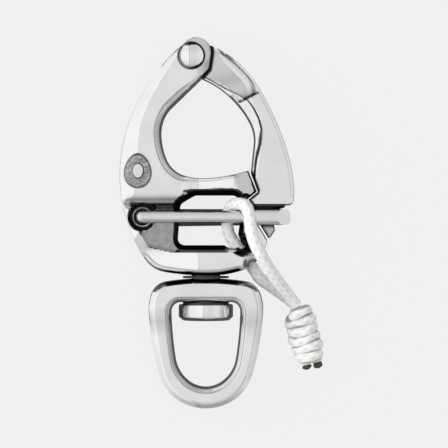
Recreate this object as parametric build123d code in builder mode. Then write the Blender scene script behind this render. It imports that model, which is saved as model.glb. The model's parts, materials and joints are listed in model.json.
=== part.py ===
from build123d import *
import os
from math import cos, pi, radians, sin, tan

# Quick-release snap shackle with a swivelling large bail and a cord lanyard, in millimetres.
# It lies on its back: +Z is up, +Y runs along the swivel axis to the hinge, +X points to the gate.
# The origin is under the middle of the shackle, at the level of the body's back face.

# Driving dimensions
overall_length = 90.0
middle = 6.75  # height of the middle plane, half the body's thickness
hinge_x, hinge_y = -3.5, 40.2
pivot_x, pivot_y = -15.4, 1.4
swivel_foot_y = -12.9  # where the swivel leaves the body
cord_diameter = 3.0
gap = 0.3  # between pieces that move past each other
running = 0.05  # radial clearance of a pin in its bush
bevel = 1.4  # along the rims of the body and the bail
gate_bevel = 1.2

top_y = overall_length / 2
bottom_y = -overall_length / 2

# Hinge
pin_radius = 2.0
pin_head_radius = 3.15
pin_head_seat = 5.2  # where the pin's heads bear on the fork, from the middle plane
pin_head_height = 1.3
eye_radius = 3.6
eye_half = 3.3
gate_half = middle - 0.3
slot_half = eye_half + gap

# Trigger
web_half = 2.9  # the thin web between the trigger's two arms
arm_inner = web_half + 0.35
rod_radius = 1.5
rod_z = middle + arm_inner + rod_radius + 0.1
spigot_radius = 1.0  # the rod's turned-down end in the lever's socket
spigot_length = 4.0
lever_drop = 0.2  # the lever's rear arm lies this much lower than the rod
lever_height = 4.4
socket_depth = 3.4
lever_thickness = 2.8
lever_z = middle - arm_inner - lever_thickness
crossbar_left, crossbar_right = 17.4, 20.4
crossbar_height = 3.8
socket_left = 11.2  # where the lever's front arm takes the rod
bush_radius = 2.3
bush_length = 1.6
bush_flange_radius = 2.85
bush_flange_height = 0.2
counterbore_radius = 3.0
counterbore_depth = 2.3
spring_wire = 0.5
anchor_x = pivot_x + 4.3

# Swivel and bail
stud_radius = 3.5
stud_top_y = -7.6
crown_top_y = -13.5
crown_under_y = -19.3
bow_inner_y = -39.8
nut_top_y, nut_bottom_y = -19.8, -23.7
nut_radius = 6.6
washer_radius = 5.6
bail_half_width = 13.9
bail_half_depth = 4.4
crown_half_depth = 6.2

# Body
head_x, head_y, head_radius = -2.5, top_y - 4.0, 4.0
slot_wall_top = (-12.1, 50)  # the fork's slot is open up to here, so that the gate's brow can swing past
ear_root, ear_corner = (-1.5, 34.4), (0.9, 37.0)  # where the limb meets the fork's ear
limb_right = (14.9, -4.2)
nose_top, nose_tip, nose_root = (10.0, 12.6), (12.2, 7.6), (9.2, 5.2)

os.makedirs("parts", exist_ok=True)


def tangent_arcs(start, heading, *points):
    """Arcs from start through the points, each tangent to the one before. heading is in degrees."""
    tangent = (cos(radians(heading)), sin(radians(heading)))
    for point in points:
        arc = TangentArc(start, point, tangent=tangent)
        start, tangent = arc @ 1, arc % 1
    return arc


def on_circle(x, y, radius, angle):
    return (x + radius * cos(radians(angle)), y + radius * sin(radians(angle)))


def bevelled(half_depth):
    """Extrudes the sketch both ways from the middle plane, with a bevel along each rim."""
    extrude(amount=half_depth - bevel)
    extrude(faces().sort_by(Axis.Z)[-1], amount=bevel, taper=45)
    mirror(about=Plane.XY.offset(middle))


def save(piece, name):
    piece.part.label = name
    export_step(piece.part, f"parts/{name}.step")


def body_outline():
    limb_start = on_circle(head_x, head_y, head_radius, 132)
    head_start = on_circle(head_x, head_y, head_radius, -12)
    left = tangent_arcs(limb_start, 222, (-17.7, 26.7), (-20.9, 10.4), (-14.8, -8.8))
    foot = tangent_arcs(left @ 1, 303, (-9.9, -12.0), (0, swivel_foot_y), (7.8, -11.9))
    corner = tangent_arcs(foot @ 1, 15, (12.4, -9.3), limb_right)
    Polyline(corner @ 1, (12.7, -0.5), nose_root, nose_tip, nose_top)
    jaw = tangent_arcs(nose_top, 198, (-0.5, 10.8), (-5.6, 11.6), (-9.5, 15.3), (-10.8, 21.3), (-8.7, 27.4))
    Polyline(jaw @ 1, ear_root, ear_corner, head_start)
    ThreePointArc(head_start, on_circle(head_x, head_y, head_radius, 45), limb_start)


pocket_outline = [
    (-18.8, 7.2), (-7.5, 7.3), (-5.0, 8.0), (3.2, 8.0), (6.0, 6.4), (17.0, 6.4),
    (17.0, -6.6), (-8.0, -6.6), (-13.4, -5.4), (-15.3, -2.2), (-17.9, -0.8), (-18.5, 2.4), (-19.1, 5.2),
]
window_outline = [(-6.9, -5.45), (7.4, -5.45), (8.8, 3.4), (7.6, 6.6), (-4.6, 6.5), (-6.9, 3.4)]
guide_in, guide_out = Vector(6.5, -4.6, middle), Vector(11.6, -11.0, middle)
guide_direction = (guide_out - guide_in).normalized()
guide_radius = 2.1

with BuildPart() as body:
    with BuildSketch(Plane.XY.offset(middle)):
        with BuildLine():
            body_outline()
        make_face()
    bevelled(middle)
    # fork slot for the gate's eye, open towards the gate
    with BuildSketch(Plane.XY.offset(middle - slot_half)):
        with Locations((hinge_x, hinge_y)):
            Circle(eye_radius + 0.4)
        with BuildLine():
            Polyline((-5.2, 36.6), (-2.2, 34.2), (12, 30), (12, 50), slot_wall_top, (hinge_x, hinge_y),
                     close=True)
        make_face()
    extrude(amount=2 * slot_half, mode=Mode.SUBTRACT)
    # the pin's hole and the seats of its heads
    with Locations((hinge_x, hinge_y, middle)):
        Cylinder(pin_radius, 2 * middle, mode=Mode.SUBTRACT)
    for start_z in (middle + pin_head_seat, 0):
        with BuildSketch(Plane.XY.offset(start_z)):
            with Locations((hinge_x, hinge_y)):
                Circle(pin_head_radius + 0.1)
        extrude(amount=middle - pin_head_seat, mode=Mode.SUBTRACT)
    # pockets for the trigger's arms, front and back
    for start_z in (middle + web_half, 0):
        with BuildSketch(Plane.XY.offset(start_z)):
            with BuildLine():
                Polyline(*pocket_outline, close=True)
            make_face()
            fillet(vertices(), radius=0.5)
        extrude(amount=middle - web_half, mode=Mode.SUBTRACT)
    # window
    with BuildSketch():
        with BuildLine():
            Polyline(*window_outline, close=True)
        make_face()
        fillet(vertices(), radius=1.6)
    extrude(amount=2 * middle, mode=Mode.SUBTRACT)
    # pivot bore with its counterbore
    with Locations((pivot_x, pivot_y, middle)):
        Cylinder(bush_radius, 2 * web_half, mode=Mode.SUBTRACT)
    with Locations((pivot_x, pivot_y, middle + web_half - counterbore_depth / 2)):
        Cylinder(counterbore_radius, counterbore_depth, mode=Mode.SUBTRACT)
    # hole of the spring's anchor pin
    with Locations((anchor_x, pivot_y, middle)):
        Cylinder(spring_wire, 2 * web_half, mode=Mode.SUBTRACT)
    # guide hole for the lanyard
    with BuildSketch(Plane(origin=guide_in - guide_direction * 2, z_dir=guide_direction)):
        Circle(guide_radius)
    extrude(amount=14, mode=Mode.SUBTRACT)
    # threaded bore of the swivel
    with BuildSketch(Plane.XZ.offset(-stud_top_y)):
        with Locations((0, middle)):
            Circle(stud_radius)
    extrude(amount=stud_top_y - swivel_foot_y + 1, mode=Mode.SUBTRACT)
save(body, "body")

# ---------------------------------------------------------------- gate
gate_inner_start = (11.1, 12.0)
notch_tip = (12.6, 7.5)
hook_tip = (10.3, 5.6)
gate_foot_y = 4.2
neck_end = [(9.0, 29.66), (13.5, 31.83)]  # the step between the thin neck and the thick blade


def gate_outline():
    eye_top = on_circle(hinge_x, hinge_y, eye_radius, 72)
    eye_back = on_circle(hinge_x, hinge_y, eye_radius, 240)
    brow = Line(eye_top, (1.5, 42.9))
    outer = tangent_arcs(brow @ 1, -24, (7.5, 39.1), (13.2, 32.3), (19.5, 18.4), (21.5, 7.0))
    Polyline(outer @ 1, (20.6, gate_foot_y), (11.5, gate_foot_y), hook_tip, notch_tip, gate_inner_start)
    inner = tangent_arcs(gate_inner_start, 84, (11.6, 18.8), (10.5, 24.3), (5.4, 30.8), (-1.4, 35.0))
    Line(inner @ 1, eye_back)
    Line(eye_back, eye_top)


tongue_outline = [
    (11.35, gate_foot_y + 1), (11.35, gate_foot_y), (13.0, -0.3), (15.1, -3.7), (15.7, -3.6),
    (16.8, -1.9), (16.6, -0.6), (16.95, 3.1), (19.2, 3.7), (19.4, gate_foot_y + 1),
]

with BuildPart() as gate:
    with BuildSketch(Plane.XY.offset(middle)):
        with BuildLine():
            gate_outline()
        make_face()
    extrude(amount=gate_half)
    chamfer(faces().sort_by(Axis.Z)[-1].edges(), length=gate_bevel)
    mirror(about=Plane.XY.offset(middle))
    # the neck is thin from the eye to the step
    for start_z in (middle + eye_half, 0):
        with BuildSketch(Plane.XY.offset(start_z)):
            with BuildLine():
                Polyline(*neck_end, (30, 36), (30, 60), (-20, 60), (-20, 29.66), close=True)
            make_face()
        extrude(amount=middle - eye_half, mode=Mode.SUBTRACT)
    with BuildSketch(Plane.XY.offset(middle - eye_half)):
        with Locations((hinge_x, hinge_y)):
            Circle(eye_radius)
    extrude(amount=2 * eye_half)
    with BuildSketch(Plane.XY.offset(middle - web_half)):
        with BuildLine():
            Polyline(*tongue_outline, close=True)
        make_face()
    extrude(amount=2 * web_half)
    with Locations((hinge_x, hinge_y, middle)):
        Cylinder(pin_radius + running, 2 * middle, mode=Mode.SUBTRACT)
save(gate, "gate")

# ---------------------------------------------------------------- hinge pin
with BuildPart() as gate_pin:
    for radius, start_z, length in (
        (pin_radius, middle - pin_head_seat - 1.2, 2 * pin_head_seat + 1.2),
        (pin_head_radius, middle + pin_head_seat, pin_head_height),
    ):
        with BuildSketch(Plane.XY.offset(start_z)):
            with Locations((hinge_x, hinge_y)):
                Circle(radius)
        extrude(amount=length)
    fillet(edges().group_by(Axis.Z)[-1], radius=pin_head_height - 0.3)
save(gate_pin, "gate_pin")

with BuildPart() as gate_pin_washer:
    with BuildSketch(Plane.XY.offset(middle - pin_head_seat - 1.1)):
        with Locations((hinge_x, hinge_y)):
            Circle(pin_head_radius)
            Circle(pin_radius, mode=Mode.SUBTRACT)
    extrude(amount=1.1)
    chamfer(edges().group_by(Axis.Z)[0].sort_by(SortBy.RADIUS)[-1], length=0.4)
save(gate_pin_washer, "gate_pin_washer")

# ---------------------------------------------------------------- trigger
stub_end_z = middle + 0.6  # where the turned-in ends of both arms nearly meet

with BuildPart() as trigger_rod:
    with BuildLine() as rod_line:
        FilletPolyline((pivot_x, pivot_y, stub_end_z), (pivot_x, pivot_y, rod_z),
                       (socket_left, pivot_y, rod_z), radius=rod_radius + 0.3)
    with BuildSketch(Plane(origin=rod_line.line @ 0, z_dir=rod_line.line % 0)):
        Circle(rod_radius)
    sweep(path=rod_line.line)
    with BuildSketch(Plane.YZ.offset(socket_left)):
        with Locations((pivot_y, rod_z)):
            Circle(spigot_radius)
    extrude(amount=spigot_length)
save(trigger_rod, "trigger_rod")

with BuildPart() as trigger_lever:
    # rear arm
    rear_y = pivot_y - lever_drop
    with BuildSketch(Plane.XY.offset(lever_z)):
        with BuildLine():
            Polyline((pivot_x, rear_y - lever_height / 2),
                     (crossbar_right - 1, pivot_y - crossbar_height / 2), (crossbar_right, pivot_y),
                     (crossbar_right - 1, pivot_y + crossbar_height / 2),
                     (pivot_x, rear_y + lever_height / 2), close=True)
        make_face()
        with Locations((pivot_x, rear_y)):
            Circle(lever_height / 2)
    extrude(amount=lever_thickness)
    # cross bar
    with BuildSketch(Plane.XY.offset(lever_z)):
        with Locations(((crossbar_left + crossbar_right) / 2, pivot_y)):
            RectangleRounded(crossbar_right - crossbar_left, crossbar_height, 1.3)
    extrude(amount=rod_z + socket_depth / 2 - lever_z)
    # front arm, the socket of the rod
    with BuildSketch(Plane.YZ.offset(socket_left)):
        with Locations((pivot_y, rod_z)):
            RectangleRounded(crossbar_height, socket_depth, 1.4)
    extrude(amount=crossbar_right - 1.3 - socket_left)
    with BuildSketch(Plane.YZ.offset(socket_left)):
        with Locations((pivot_y, rod_z)):
            Circle(spigot_radius)
    extrude(amount=spigot_length, mode=Mode.SUBTRACT)
    # pivot stub
    with BuildSketch(Plane.XY.offset(lever_z + lever_thickness)):
        with Locations((pivot_x, pivot_y)):
            Circle(rod_radius)
    extrude(amount=stub_end_z - gap - lever_z - lever_thickness)
save(trigger_lever, "trigger_lever")


def bush(outer_end_z, inward):
    """A flanged pivot bush whose flange lies against the web at outer_end_z."""
    with BuildPart() as piece:
        for radius, start, length in (
            (bush_radius, 0, bush_length),
            (bush_flange_radius, -bush_flange_height, bush_flange_height),
        ):
            with BuildSketch(Plane((pivot_x, pivot_y, outer_end_z + inward * start), z_dir=(0, 0, inward))):
                Circle(radius)
                Circle(rod_radius + running, mode=Mode.SUBTRACT)
            extrude(amount=length)
    return piece


trigger_bush_front = bush(middle + web_half - counterbore_depth, -1)
save(trigger_bush_front, "trigger_bush_front")
trigger_bush_rear = bush(middle - web_half, 1)
save(trigger_bush_rear, "trigger_bush_rear")

# ---------------------------------------------------------------- spring
spring_radius = 2.25
spring_pitch = 0.62
spring_turns = 2
spring_z = middle + web_half - counterbore_depth + bush_flange_height + spring_wire / 2 + 0.1

with BuildPart() as trigger_spring:
    with BuildLine(Plane.XY.offset(spring_z)) as coil:
        Helix(pitch=spring_pitch, height=spring_pitch * spring_turns, radius=spring_radius,
              center=(pivot_x, pivot_y, 0))
    with BuildSketch(Plane(origin=coil.line @ 0, z_dir=coil.line % 0)):
        Circle(spring_wire / 2)
    sweep(path=coil.line, is_frenet=True)
save(trigger_spring, "trigger_spring")

with BuildPart() as spring_anchor_pin:
    with BuildSketch(Plane.XY.offset(middle - web_half)):
        with Locations((anchor_x, pivot_y)):
            Circle(spring_wire)
    extrude(amount=2 * web_half)
save(spring_anchor_pin, "spring_anchor_pin")

# ---------------------------------------------------------------- swivel
def turned(radius, start_y, end_y, hole=0.0, hole_depth=None, top_chamfer=0.0, foot_chamfer=0.0):
    """A round piece on the swivel axis between two heights, with a hole from its top."""
    with BuildPart() as piece:
        with BuildSketch(Plane((0, start_y, middle), z_dir=(0, -1, 0))):
            Circle(radius)
        extrude(amount=start_y - end_y)
        if foot_chamfer:
            chamfer(edges().group_by(Axis.Y)[0], length=foot_chamfer)
        if top_chamfer:
            chamfer(edges().group_by(Axis.Y)[-1], length=top_chamfer)
        if hole:
            with BuildSketch(Plane((0, start_y, middle), z_dir=(0, -1, 0))):
                Circle(hole)
            extrude(amount=hole_depth or start_y - end_y, mode=Mode.SUBTRACT)
    return piece


nut_floor = 0.6  # the closed bottom of the nut
swivel_stud = turned(stud_radius, stud_top_y, nut_bottom_y + nut_floor, top_chamfer=0.4)
save(swivel_stud, "swivel_stud")
swivel_nut = turned(nut_radius, nut_top_y, nut_bottom_y, hole=stud_radius,
                    hole_depth=nut_top_y - nut_bottom_y - nut_floor, top_chamfer=0.3, foot_chamfer=0.8)
save(swivel_nut, "swivel_nut")
swivel_washer_upper = turned(washer_radius, swivel_foot_y - 0.1, crown_top_y + 0.1, hole=stud_radius)
save(swivel_washer_upper, "swivel_washer_upper")
swivel_washer_lower = turned(washer_radius, crown_under_y - 0.05, nut_top_y, hole=stud_radius)
save(swivel_washer_lower, "swivel_washer_lower")

# ---------------------------------------------------------------- bail
with BuildPart() as bail:
    with BuildSketch(Plane.XY.offset(middle)):
        with BuildLine():
            outer = tangent_arcs((0, bottom_y), 180, (-6.3, -43.3), (-11.2, -37.0), (-bail_half_width, -22.0),
                                 (-13.3, -17.3), (-9.6, crown_top_y - 0.7), (0, crown_top_y))
            Line(outer @ 1, (0, bottom_y))
        make_face()
        with BuildLine():
            inner = tangent_arcs((0, bow_inner_y), 180, (-3.8, -38.6), (-7.3, -33.0), (-8.35, -21.6),
                                 (-6.3, crown_under_y))
            Polyline(inner @ 1, (0, crown_under_y), (0, bow_inner_y))
        make_face(mode=Mode.SUBTRACT)
        mirror(about=Plane.YZ)
    bevelled(crown_half_depth)
    # deep at the crown, slimmer round the bow
    with BuildSketch(Plane.YZ.offset(-20)):
        with BuildLine():
            Polyline((crown_top_y + 1, middle - crown_half_depth), (-20.5, middle - crown_half_depth),
                     (-27.0, middle - bail_half_depth), (bottom_y - 1, middle - bail_half_depth),
                     (bottom_y - 1, middle + bail_half_depth), (-27.0, middle + bail_half_depth),
                     (-20.5, middle + crown_half_depth), (crown_top_y + 1, middle + crown_half_depth),
                     close=True)
        make_face()
    extrude(amount=40, mode=Mode.INTERSECT)
    with BuildSketch(Plane((0, crown_top_y + 1, middle), z_dir=(0, -1, 0))):
        Circle(stud_radius + running)
    extrude(amount=crown_top_y - crown_under_y + 2, mode=Mode.SUBTRACT)
save(bail, "bail")

# ---------------------------------------------------------------- lanyard
# One cord, doubled over the trigger: up the front, over the rod, down behind it, out through the guide
# hole, and both strands into the knot.
knot_top, knot_bottom, knot_radius = Vector(21.9, -20.0, 4.2), Vector(25.8, -34.2, 4.2), 4.1
wrap = rod_radius + cord_diameter / 2 + 0.2
strand_offset = Vector(0, 0, 1.6)
lanyard_points = [
    tuple(knot_top + strand_offset),
    (19.5, -17.0, 7.4),
    (16.5, -12.9, 11.6),
    (13.7, -8.6, 14.9),
    (10.9, -3.4, 15.6),
    (10.3, pivot_y + wrap, rod_z + wrap),
    (5.6, pivot_y + wrap, rod_z - wrap),
    (5.0, -1.4, 7.6),
    (6.7, -4.85, 6.75),
    (11.4, -10.75, 6.75),
    (12.9, -13.6, 5.9),
    (17.2, -16.3, 3.9),
    tuple(knot_top - strand_offset),
]
folds = (5, 6)  # the two corners where the cord lies round the rod


def corner_radii(points, share=0.45):
    """The largest radius at each corner that leaves its two runs room."""
    radii = []
    for index in range(1, len(points) - 1):
        before = Vector(*points[index]) - Vector(*points[index - 1])
        after = Vector(*points[index + 1]) - Vector(*points[index])
        half_turn = radians(before.get_angle(after)) / 2
        radius = share * min(before.length, after.length) / tan(half_turn)
        radii.append(min(radius, wrap) if index in folds else radius)
    return radii


lanyard_radii = corner_radii(lanyard_points)
with BuildPart() as lanyard:
    with BuildLine() as lanyard_line:
        FilletPolyline(*lanyard_points, radius=lanyard_radii)
    with BuildSketch(Plane(origin=lanyard_line.line @ 0, z_dir=lanyard_line.line % 0)):
        Circle(cord_diameter / 2)
    sweep(path=lanyard_line.line)
save(lanyard, "lanyard")

knot_direction = (knot_bottom - knot_top).normalized()


def along_knot(start, radius, length, taper_length=0.0):
    """A round piece along the knot's axis from a distance below its top."""
    with BuildPart() as piece:
        with BuildSketch(Plane(origin=knot_top + knot_direction * start, z_dir=knot_direction)):
            Circle(radius)
        extrude(amount=length)
        if taper_length:
            chamfer(edges().filter_by(GeomType.CIRCLE), length=taper_length)
    return piece


knot_length = (knot_bottom - knot_top).length
tip_radius = 1.05  # the cord shrinks where it is melted
lanyard_knot = along_knot(0, knot_radius, knot_length, taper_length=0.9)
save(lanyard_knot, "lanyard_knot")


def cord_tip(side, length):
    """One of the melted ends below the knot."""
    across = Vector(-knot_direction.Y, knot_direction.X, 0) * side
    with BuildPart() as piece:
        with BuildSketch(Plane(origin=knot_bottom + across * (tip_radius + 0.1), z_dir=knot_direction)):
            Circle(tip_radius)
        extrude(amount=length)
        fillet(edges().filter_by(GeomType.CIRCLE).sort_by(Axis.Y)[0], radius=0.4)
    return piece


lanyard_end_left = cord_tip(-1, 1.4)
save(lanyard_end_left, "lanyard_end_left")
lanyard_end_right = cord_tip(1, 1.8)
save(lanyard_end_right, "lanyard_end_right")

lanyard_length = lanyard_line.wires()[0].length
section = pi * cord_diameter ** 2 / 4
print("lanyard length", round(lanyard_length, 1), "radii", [round(r, 1) for r in lanyard_radii])
print("lanyard volume", round(lanyard.part.volume, 1), "section x length",
      round(section * lanyard_length, 1))
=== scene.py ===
import json
import math

import bmesh
import bpy
import numpy as np
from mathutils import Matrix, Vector
from mathutils.geometry import delaunay_2d_cdt


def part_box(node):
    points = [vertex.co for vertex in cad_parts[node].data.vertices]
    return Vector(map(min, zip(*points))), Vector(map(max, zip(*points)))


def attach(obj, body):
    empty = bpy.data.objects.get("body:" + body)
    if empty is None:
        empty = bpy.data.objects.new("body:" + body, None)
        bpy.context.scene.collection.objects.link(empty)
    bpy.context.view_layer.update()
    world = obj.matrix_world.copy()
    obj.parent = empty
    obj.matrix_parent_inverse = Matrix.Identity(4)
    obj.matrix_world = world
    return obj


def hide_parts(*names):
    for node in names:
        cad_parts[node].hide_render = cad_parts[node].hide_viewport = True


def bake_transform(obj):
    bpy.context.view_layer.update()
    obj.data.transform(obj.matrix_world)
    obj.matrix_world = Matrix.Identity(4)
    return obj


# Snap shackle in polished steel with a white cord lanyard. Lengths are millimetres until a mesh is made.
MM = 0.001
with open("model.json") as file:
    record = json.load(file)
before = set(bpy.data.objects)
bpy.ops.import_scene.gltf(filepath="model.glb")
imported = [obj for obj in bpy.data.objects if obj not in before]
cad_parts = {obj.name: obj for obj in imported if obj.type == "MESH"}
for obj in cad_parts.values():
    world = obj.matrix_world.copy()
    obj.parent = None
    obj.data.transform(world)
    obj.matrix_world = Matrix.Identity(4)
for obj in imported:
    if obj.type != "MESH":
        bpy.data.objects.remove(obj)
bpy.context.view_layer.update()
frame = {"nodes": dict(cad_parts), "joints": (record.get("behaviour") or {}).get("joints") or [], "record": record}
collection = bpy.context.scene.collection

body_low, body_high = (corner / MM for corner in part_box("body"))
gate_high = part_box("gate")[1] / MM
MIDDLE = (body_low.z + body_high.z) / 2
BODY_HALF = body_high.z - MIDDLE
GATE_HALF = gate_high.z - MIDDLE
HINGE = tuple(v / MM for v in next(j for j in frame["joints"] if j["name"] == "gate_hinge")["pos_m"][:2])
PIVOT = tuple(v / MM for v in next(j for j in frame["joints"] if j["name"] == "trigger_pivot")["pos_m"][:2])
CORD_DIAMETER = 3.0
WEB_HALF = 2.9
ROD_RADIUS = 1.5
ROD_Z = 11.6

# ------------------------------------------------------------------ camera
CAMERA_DISTANCE = 520.0
VIEW_WIDTH = 108.95
SENSOR = 36.0
VIEW_CENTRE = (4.4, -0.3)

camera_data = bpy.data.cameras.new("camera")
camera_data.sensor_width = SENSOR
camera_data.lens = SENSOR * CAMERA_DISTANCE / VIEW_WIDTH
camera_data.clip_end = 10
camera = bpy.data.objects.new("camera", camera_data)
camera.location = (VIEW_CENTRE[0] * MM, VIEW_CENTRE[1] * MM, (MIDDLE + CAMERA_DISTANCE) * MM)
collection.objects.link(camera)
bpy.context.scene.camera = camera
bpy.context.scene.view_settings.view_transform = "Standard"


# ------------------------------------------------------------------ node helpers
def new_material(name):
    material = bpy.data.materials.new(name)
    material.use_nodes = True
    tree = material.node_tree
    return material, tree, tree.nodes["Principled BSDF"]


def put(node, values):
    """Sets the node's inputs, by name or by number."""
    for name, value in values.items():
        node.inputs[name].default_value = value
    return node


def add(tree, kind, values=None, **settings):
    node = tree.nodes.new("ShaderNode" + kind)
    for key, value in settings.items():
        setattr(node, key, value)
    return put(node, values or {})


def noise(tree, scale, detail=3.0, stretch=(1, 1, 1)):
    """Noise in the object's own coordinates, scale in features per metre."""
    place = add(tree, "TexCoord")
    mapping = add(tree, "Mapping", {"Scale": stretch})
    tree.links.new(place.outputs["Object"], mapping.inputs["Vector"])
    texture = add(tree, "TexNoise", {"Scale": scale, "Detail": detail})
    tree.links.new(mapping.outputs["Vector"], texture.inputs["Vector"])
    return texture.outputs["Fac"]


def spread(tree, source, low, high):
    """Maps the middle of a noise to the range from low to high."""
    node = add(tree, "MapRange", {"From Min": 0.3, "From Max": 0.7, "To Min": low, "To Max": high})
    tree.links.new(source, node.inputs["Value"])
    return node.outputs["Result"]


def tint(tree, source, *stops):
    """A colour ramp over source, with (position, colour) stops."""
    ramp = add(tree, "ValToRGB")
    elements = ramp.color_ramp.elements
    while len(elements) < len(stops):
        elements.new(0.5)
    for element, (position, colour) in zip(elements, stops):
        element.position = position
        element.color = (*colour, 1)
    tree.links.new(source, ramp.inputs["Fac"])
    return ramp.outputs["Color"]


def shaded(tree, colour, dark):
    """The colour, turned to dark by the mesh's own attribute: painted shade and painted dark reflection."""
    painted_shade = add(tree, "Attribute", attribute_name="painted_shade")
    node = add(tree, "Mix", {7: (*dark, 1)}, data_type="RGBA")
    tree.links.new(painted_shade.outputs["Fac"], node.inputs["Factor"])
    tree.links.new(colour, node.inputs[6])
    return node.outputs[2]


def bump(tree, shader, source, height_mm, strength=1.0):
    node = add(tree, "Bump", {"Strength": strength, "Distance": height_mm * MM})
    tree.links.new(source, node.inputs["Height"])
    tree.links.new(node.outputs["Normal"], shader.inputs["Normal"])


# ------------------------------------------------------------------ materials
def steel(name, shade=0.86, roughness=(0.10, 0.20), grain=0.004, stretch=(1, 1, 1)):
    """Polished steel: fine polishing grain, cloudier patches where the wheel reached less, and painted shade and
    painted dark reflection from the mesh's attribute.
    """
    material, tree, shader = new_material(name)
    shader.inputs["Metallic"].default_value = 1.0
    cloud = noise(tree, 160, 4)
    dark = (shade * 0.94, shade * 0.94, shade * 0.95)
    colour = tint(tree, cloud, (0.35, dark), (0.65, (shade, shade, shade)))
    # near black where the mesh's attribute paints shade and dark reflection
    tree.links.new(shaded(tree, colour, (0.012, 0.012, 0.013)), shader.inputs["Base Color"])
    tree.links.new(spread(tree, cloud, *roughness), shader.inputs["Roughness"])
    bump(tree, shader, noise(tree, 2600, 5, stretch), grain)
    return material


def moulded(name, colour, roughness=(0.35, 0.55), grain=0.02):
    material, tree, shader = new_material(name)
    mottle = noise(tree, 900, 3)
    light = tuple(min(1, c * 1.35 + 0.01) for c in colour)
    tree.links.new(tint(tree, mottle, (0.3, colour), (0.7, light)), shader.inputs["Base Color"])
    tree.links.new(spread(tree, mottle, *roughness), shader.inputs["Roughness"])
    bump(tree, shader, noise(tree, 3500, 2), grain)
    return material


def cord_cloth(name):
    """White polyester yarn: fine fibres, a little painted shade in the lows and folds, and some sheen."""
    material, tree, shader = new_material(name)
    fibre = noise(tree, 5200, 4)
    wear = noise(tree, 210, 3)
    colour = tint(tree, wear, (0.3, (0.74, 0.74, 0.73)), (0.6, (0.86, 0.86, 0.85)))
    # grey where the mesh's attribute paints shade in the lows and folds
    tree.links.new(shaded(tree, colour, (0.10, 0.10, 0.10)), shader.inputs["Base Color"])
    tree.links.new(spread(tree, fibre, 0.65, 0.9), shader.inputs["Roughness"])
    shader.inputs["Sheen Weight"].default_value = 0.25
    bump(tree, shader, fibre, 0.03)
    return material


STEEL = {
    "forging": steel("forging_steel"),
    "gate_forging": steel("gate_steel", 0.84),
    "bail_forging": steel("bail_steel"),
    "pin_steel": steel("pin_steel", 0.85, (0.06, 0.12), 0.002),
    "rod_steel": steel("rod_steel", 0.79, (0.07, 0.14), 0.012, (0.04, 1, 1)),
    "spring_steel": steel("spring_steel", 0.6, (0.2, 0.35)),
    "turned_steel": steel("turned_steel", 0.85, (0.08, 0.16), 0.002, (1, 8, 1)),
}
MATERIALS = {
    **STEEL,
    "bush": moulded("black_bush", (0.012, 0.012, 0.013)),
    "washer": moulded("black_washer", (0.015, 0.015, 0.016)),
    "cord": cord_cloth("white_cord"),
    "cord_tip": moulded("melted_tip", (0.035, 0.022, 0.014), (0.2, 0.4), 0.05),
}


# ------------------------------------------------------------------ lines and distances
def arc_chain(start, heading, *points, step=0.25):
    """Points along arcs from start through the points, each tangent to the last. heading is in degrees."""
    line, heading = [start], math.radians(heading)
    for end in points:
        across, up = end[0] - start[0], end[1] - start[1]
        half_turn = (math.atan2(up, across) - heading + math.pi) % (2 * math.pi) - math.pi
        chord = math.hypot(across, up)
        bend = max(abs(math.sin(half_turn)), 1e-9) / max(abs(half_turn), 1e-9)
        count = max(2, round(chord / bend / step))
        for k in range(1, count + 1):
            share = k / count
            part = math.sin(share * half_turn) / math.sin(half_turn) if abs(half_turn) > 1e-6 else share
            reach = chord * part
            angle = heading + share * half_turn
            line.append((start[0] + reach * math.cos(angle), start[1] + reach * math.sin(angle)))
        heading += 2 * half_turn
        start = end
    return line


def circle(centre, radius, start=0.0, end=360.0, step=0.25):
    """Points round a circle or an arc. A whole circle leaves out its last point."""
    sweep = math.radians(end - start)
    count = max(12, round(abs(sweep) * radius / step))
    last = count if abs(end - start) >= 360 else count + 1
    return [(centre[0] + radius * math.cos(math.radians(start) + sweep * k / count),
             centre[1] + radius * math.sin(math.radians(start) + sweep * k / count)) for k in range(last)]


def straight(*points, step=0.25):
    """Points along straight runs, corners included."""
    line = [points[0]]
    for a, b in zip(points, points[1:]):
        count = max(1, round(math.dist(a, b) / step))
        line += [(a[0] + (b[0] - a[0]) * k / count, a[1] + (b[1] - a[1]) * k / count)
                 for k in range(1, count + 1)]
    return line


def rounded(points, radius, step=0.25):
    """A closed outline through the points, with each corner rounded."""
    line = []
    for index, corner in enumerate(points):
        corner = Vector(corner)
        back = Vector(points[index - 1]) - corner
        on = Vector(points[(index + 1) % len(points)]) - corner
        angle = back.angle(on)
        reach = min(radius / math.tan(angle / 2), 0.45 * back.length, 0.45 * on.length)
        start, end = corner + back.normalized() * reach, corner + on.normalized() * reach
        count = max(2, round((end - start).length / step))
        for k in range(count + 1):
            t = k / count
            line.append(tuple(start * (1 - t) ** 2 + corner * 2 * t * (1 - t) + end * t ** 2))
    return straight(*line, line[0], step=step)[:-1]


def distance(points, line, closed=False):
    """How far each of the points is from a line."""
    line = np.array(line)
    ends = np.roll(line, -1, axis=0) if closed else line[1:]
    found = np.full(len(points), np.inf)
    for a, b in zip(line, ends):
        run = b - a
        size = run @ run
        if size < 1e-12:
            continue
        share = np.clip((points - a) @ run / size, 0, 1)
        gap = points - a - share[:, None] * run
        found = np.minimum(found, np.einsum("ij,ij->i", gap, gap))
    return np.sqrt(found)


def inside(points, loop):
    """True for each of the points that a closed outline goes round."""
    loop = np.array(loop)
    result = np.zeros(len(points), bool)
    for a, b in zip(loop, np.roll(loop, -1, axis=0)):
        crosses = (a[1] > points[:, 1]) != (b[1] > points[:, 1])
        if a[1] != b[1]:
            at = a[0] + (points[:, 1] - a[1]) * (b[0] - a[0]) / (b[1] - a[1])
            result ^= crosses & (points[:, 0] < at)
    return result


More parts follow.
